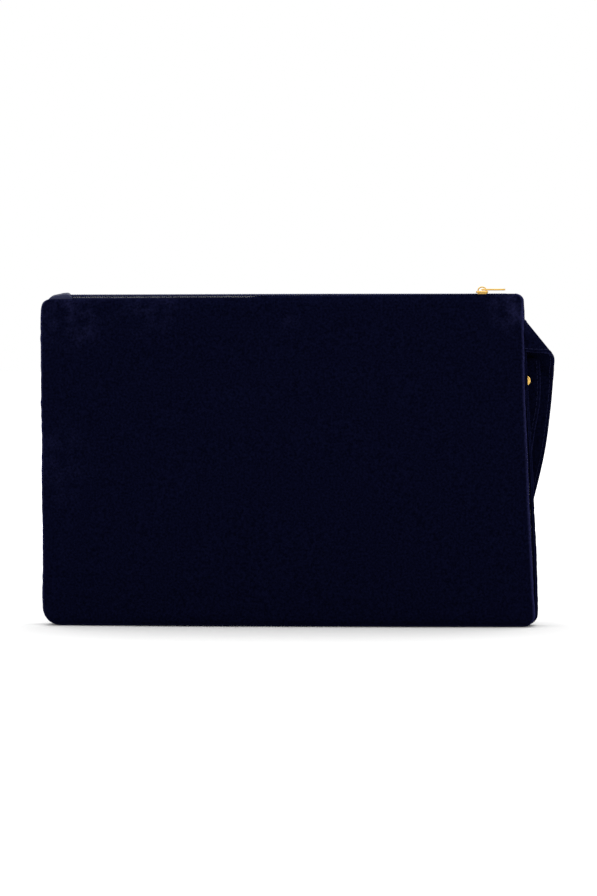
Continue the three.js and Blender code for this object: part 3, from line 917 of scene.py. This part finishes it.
tab_low, tab_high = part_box("pull_tab")
PULL_T = 1.0 * MM
PULL_BAR_R = 0.5 * MM
PULL_CLEAR = 0.3 * MM           # between the bar and the slider's top plate
PULL_EDGE = 0.22 * MM
PULL_STEPS = 28
EYE_HALF = 1.35 * MM
EYE_LENGTH = 3.9 * MM
BAR_STOPS = (-0.95, -0.5, 0, 0.5, 0.95)     # where the bar's rings lie, as shares of half width
tab_axis_z = slider_high[2] + PULL_CLEAR + PULL_BAR_R
tab_length = tab_high[0] - SLIDER_X
tab_half = (tab_high[1] - tab_low[1]) / 2


def tab_half_width(t):
    """Half width along the tab: full at the eye, narrower behind it, then a round end."""
    waist = tab_half * (0.86 + 0.14 * math.cos(2 * math.pi * min(t / 0.75, 1.0)))
    end = max((t - 0.84) / 0.16, 0.0)
    return waist * math.sqrt(max(1 - end ** 2, 0.02))


bm = bmesh.new()
levels = []
for i in range(PULL_STEPS + 1):
    t = i / PULL_STEPS
    x = SLIDER_X + tab_length * t
    out = tab_half_width(t)
    hole = min(EYE_HALF, out * 0.6) if x < SLIDER_X + EYE_LENGTH else 0.0
    levels.append((x, hole, out))
for side in (-1, 1):
    rings = []
    for x, hole, out in levels:
        ring = [bm.verts.new((x, side * hole, tab_axis_z - PULL_T / 2)),
                bm.verts.new((x, side * out, tab_axis_z - PULL_T / 2)),
                bm.verts.new((x, side * out, tab_axis_z + PULL_T / 2)),
                bm.verts.new((x, side * hole, tab_axis_z + PULL_T / 2))]
        rings.append(ring)
    for a, b in zip(rings, rings[1:]):
        for k in range(4):
            if k == 3 and a[0].co.y == 0 and b[0].co.y == 0:
                continue
            bm.faces.new((a[k], a[(k + 1) % 4], b[(k + 1) % 4], b[k]))
    bm.faces.new(rings[0])
    bm.faces.new(rings[-1])
bmesh.ops.remove_doubles(bm, verts=bm.verts, dist=0.001 * MM)
cast_part("stamped_pull_tab", bm, PULL_EDGE, "pull_tab", "puller", gold)
bar_path = [(SLIDER_X, tab_half * f, tab_axis_z) for f in BAR_STOPS]
bar = link_mesh("pull_bar", *tube_mesh(bar_path, PULL_BAR_R, 16), gold)
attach(bar, "puller")

# ---------------------------------------------------------------------------
# Wrist strap: a tube of the same velvet, pressed flat to 22 mm and edge stitched. Its end is
# caught in the side seam. It runs out a little, folds over on a slant, hangs down behind the
# pouch, doubles back at the bottom, and is riveted to itself near the top.

STRAP_HALF = 11.0 * MM
STRAP_T = 1.9 * MM
STRAP_STEP = 1.5 * MM
ROOT_START = Vector((141.0, 177.3)) * MM
ROOT_SLOPE = math.radians(-4)
FOLD_SLOPE = math.radians(-51)
FOLD_R = 4.0 * MM               # of the middle of the cloth, round the slanted fold
FOLD_MIDDLE = Vector((147.6, 172.05)) * MM
ROOT_Y = -1.0 * MM
FOLD_END = 30.0 * MM            # length along the strap by which all of it is past the fold
STAND_BACK = 7.4 * MM           # the hanging ply moves back this much just past the fold
STAND_BACK_RUN = 8.0 * MM
STRAP_WAVE = 0.35 * MM
STRAP_SHEEN_SHIFT = 1.2 * MM           # its edges get fainter painted sheen than the panels'
HANG = [(149.0, 14.4, 149), (147.4, 15.2, 131), (144.2, 18, 107), (138.6, 21.5, 82),
        (132.5, 22.6, 60), (129.0, 21.0, 45), (127.6, 17.0, 37.6), (127.0, 13.2, 43),
        (127.6, 12.2, 58), (130.2, 12, 75), (133.8, 12, 92), (135.9, 12, 104), (138.0, 12, 119),
        (140.9, 12, 135), (141.4, 12, 148), (141.1, 10.9, 156), (140.8, 10.0, 163.5)]

along = Vector((math.cos(ROOT_SLOPE), math.sin(ROOT_SLOPE)))
across = Vector((-math.sin(ROOT_SLOPE), math.cos(ROOT_SLOPE)))
fold_out = Vector((-math.sin(FOLD_SLOPE), math.cos(FOLD_SLOPE)))
HALF_TURN = math.pi * FOLD_R


def past_fold(s, t):
    """How far a point of the flat strap lies past the fold's line."""
    return (ROOT_START + along * s + across * t - FOLD_MIDDLE).dot(fold_out)


def stand_back(s, t):
    """How far the hanging ply has moved back behind the pouch."""
    return STAND_BACK * ease((past_fold(s, t) - HALF_TURN) / STAND_BACK_RUN)


def root_point(s, t):
    """The flat strap, rolled over the slanted fold."""
    flat = ROOT_START + along * s + across * t
    q = past_fold(s, t)
    if q <= 0:
        return Vector((flat.x, ROOT_Y, flat.y))
    if q < HALF_TURN:
        turned = flat - fold_out * (q - FOLD_R * math.sin(q / FOLD_R))
        return Vector((turned.x, ROOT_Y + FOLD_R * (1 - math.cos(q / FOLD_R)), turned.y))
    turned = flat - fold_out * (2 * q - HALF_TURN)
    return Vector((turned.x, ROOT_Y + 2 * FOLD_R + stand_back(s, t), turned.y))


def smooth_path(points, step):
    """Points at even steps along a Catmull-Rom curve."""
    ends = [2 * points[0] - points[1]] + points + [2 * points[-1] - points[-2]]
    fine = []
    for i in range(1, len(ends) - 2):
        a, b, c, d = ends[i - 1:i + 3]
        for k in range(24):
            t = k / 24
            fine.append(0.5 * (2 * b + (c - a) * t + (2 * a - 5 * b + 4 * c - d) * t ** 2
                               + (3 * b - a - 3 * c + d) * t ** 3))
    fine.append(ends[-2])
    even = [fine[0]]
    spare = 0.0
    for a, b in zip(fine, fine[1:]):
        length = (b - a).length
        while spare + length >= step and length > 0:
            a = a + (b - a) * ((step - spare) / length)
            even.append(a)
            length = (b - a).length
            spare = 0.0
        spare += length
    return even


hang_start = root_point(FOLD_END, 0)
hang_start.y = ROOT_Y + 2 * FOLD_R + STAND_BACK
hang_path = smooth_path([hang_start] + [Vector(p) * MM for p in HANG], STRAP_STEP)


def strap_grid(columns=10):
    """The middle surface of the whole strap, and each point's length along it."""
    grid = []
    lengths = []
    steps = int(FOLD_END / STRAP_STEP)
    offsets = [STRAP_HALF * (2 * i / columns - 1) for i in range(columns + 1)]
    for j in range(steps):
        s = STRAP_STEP * j
        grid.append([root_point(s, t) for t in offsets])
        lengths.append(s)
    for j, middle in enumerate(hang_path):
        s = FOLD_END + STRAP_STEP * j
        ahead = hang_path[min(j + 1, len(hang_path) - 1)] - hang_path[max(j - 1, 0)]
        ahead.normalize()
        wide = Vector((1, 0, 0)) - ahead * ahead.x
        wide.normalize()
        line = []
        for t in offsets:
            p = middle - wide * t
            p.y += stand_back(s, t) - STAND_BACK
            p.y += STRAP_WAVE * rough(p.x, 0, p.z, 16 * MM, 2.9) * min(j / 12, 1)
            line.append(p)
        grid.append(line)
        lengths.append(s)
    return grid, lengths


def hangs_from_fold(obj):
    """Bakes a strap piece's placement into its mesh."""
    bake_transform(obj)


strap_points, strap_lengths = strap_grid()
columns = len(strap_points[0])
strap = link_mesh("velvet_strap", [p for line in strap_points for p in line],
                  grid_faces(len(strap_points), columns), velvet)
# Edge distance for the velvet's painted sheen, shifted so the strap's edges get less of it.
mark_edges(strap, [STRAP_HALF - abs(STRAP_HALF * (2 * i / (columns - 1) - 1)) + STRAP_SHEEN_SHIFT
                   for _ in strap_points for i in range(columns)])
thicken(strap, STRAP_T, 0)
round_off(strap, 2)
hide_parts("strap_root", "strap_loop")
hangs_from_fold(strap)

# ---------------------------------------------------------------------------
# Edge stitching: a row of navy thread down each edge of the strap, through both layers, in
# stitches just under 3 mm long.

STITCH_STEP = 2                 # rows of the strap's grid for one stitch
STITCH_R = 0.17 * MM
STITCH_COLUMN = 1               # the grid column next to each edge
STITCH_ARC = ((0.1, -1.0), (0.2, 0.2), (0.5, 0.6), (0.8, 0.2), (0.9, -1.0))   # along it, and up


def surface_normal(j, i):
    """The strap's facing at a point of its grid."""
    j0, j1 = max(j - 1, 0), min(j + 1, len(strap_points) - 1)
    down = strap_points[j1][i] - strap_points[j0][i]
    wide = strap_points[j][min(i + 1, columns - 1)] - strap_points[j][max(i - 1, 0)]
    return down.cross(wide).normalized()


def on_surface(j, i, face):
    """A point on the near or the far face of the strap."""
    return strap_points[j][i] + surface_normal(j, i) * face * STRAP_T * 0.5


stitch_verts = []
stitch_faces = []
stitch_lengths = []
for column in (STITCH_COLUMN, columns - 1 - STITCH_COLUMN):
    for face in (-1, 1):
        for j in range(1, len(strap_points) - STITCH_STEP - 1, STITCH_STEP):
            a = on_surface(j, column, face)
            b = on_surface(j + STITCH_STEP, column, face)
            bow = surface_normal(j + 1, column) * face * STITCH_R
            points = [a.lerp(b, t) + bow * up for t, up in STITCH_ARC]
            verts, faces = tube_mesh(points, STITCH_R, 6)
            base = len(stitch_verts)
            stitch_verts += verts
            stitch_faces += [tuple(base + k for k in f) for f in faces]
            stitch_lengths += [strap_lengths[j]] * len(verts)
stitches = link_mesh("strap_edge_stitching", stitch_verts, stitch_faces, thread)
hangs_from_fold(stitches)

# ---------------------------------------------------------------------------
# Rivet: a gold-plated brass cap and post pressed together through both plies. The cap is a
# low dome with a rolled rim, and the post has a flat head at the back.

cap_low, cap_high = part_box("stud_cap")
post_low, post_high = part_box("stud_post")
CAP_PROFILE = ((1.0, 0.0), (1.0, 0.18), (0.97, 0.3), (0.9, 0.36), (0.84, 0.4), (0.76, 0.55),
               (0.62, 0.74), (0.45, 0.88), (0.25, 0.97), (0.0, 1.0))
POST_PROFILE = ((0.46, 0.0), (0.46, 0.84), (1.0, 0.84), (1.0, 0.97), (0.92, 1.0), (0.0, 1.0))
CAP_SINK = 0.3 * MM             # how far the cap's rim is pressed into the pile


def turned_part(bm, centre, radius, height, front_y, toward, profile, sides=32):
    """Turns a (radius, height) profile about an axis along Y, standing off a face at front_y."""
    rings = []
    for out, up in profile:
        y = front_y + toward * height * up
        if out == 0:
            rings.append([bm.verts.new((centre.x, y, centre.z))])
            continue
        ring = []
        for k in range(sides):
            angle = 2 * math.pi * k / sides
            ring.append(bm.verts.new((centre.x + radius * out * math.cos(angle), y,
                                      centre.z + radius * out * math.sin(angle))))
        rings.append(ring)
    bm.faces.new(rings[0])
    for a, b in zip(rings, rings[1:]):
        for k in range(sides):
            if len(b) == 1:
                bm.faces.new((a[k], a[(k + 1) % sides], b[0]))
            else:
                bm.faces.new((a[k], a[(k + 1) % sides], b[(k + 1) % sides], b[k]))


cap_centre = (Vector(cap_low) + Vector(cap_high)) / 2
post_centre = (Vector(post_low) + Vector(post_high)) / 2
bm = bmesh.new()
turned_part(bm, cap_centre, (cap_high[0] - cap_low[0]) / 2, cap_high[1] - cap_low[1] + CAP_SINK,
            cap_high[1] + CAP_SINK, -1, CAP_PROFILE)
cast_part("rivet_cap", bm, 0, "stud_cap", "strap_hanging", gold)
bm = bmesh.new()
turned_part(bm, post_centre, (post_high[0] - post_low[0]) / 2, post_high[1] - post_low[1],
            post_low[1], 1, POST_PROFILE)
cast_part("rivet_post", bm, 0, "stud_post", "strap_hanging", gold)
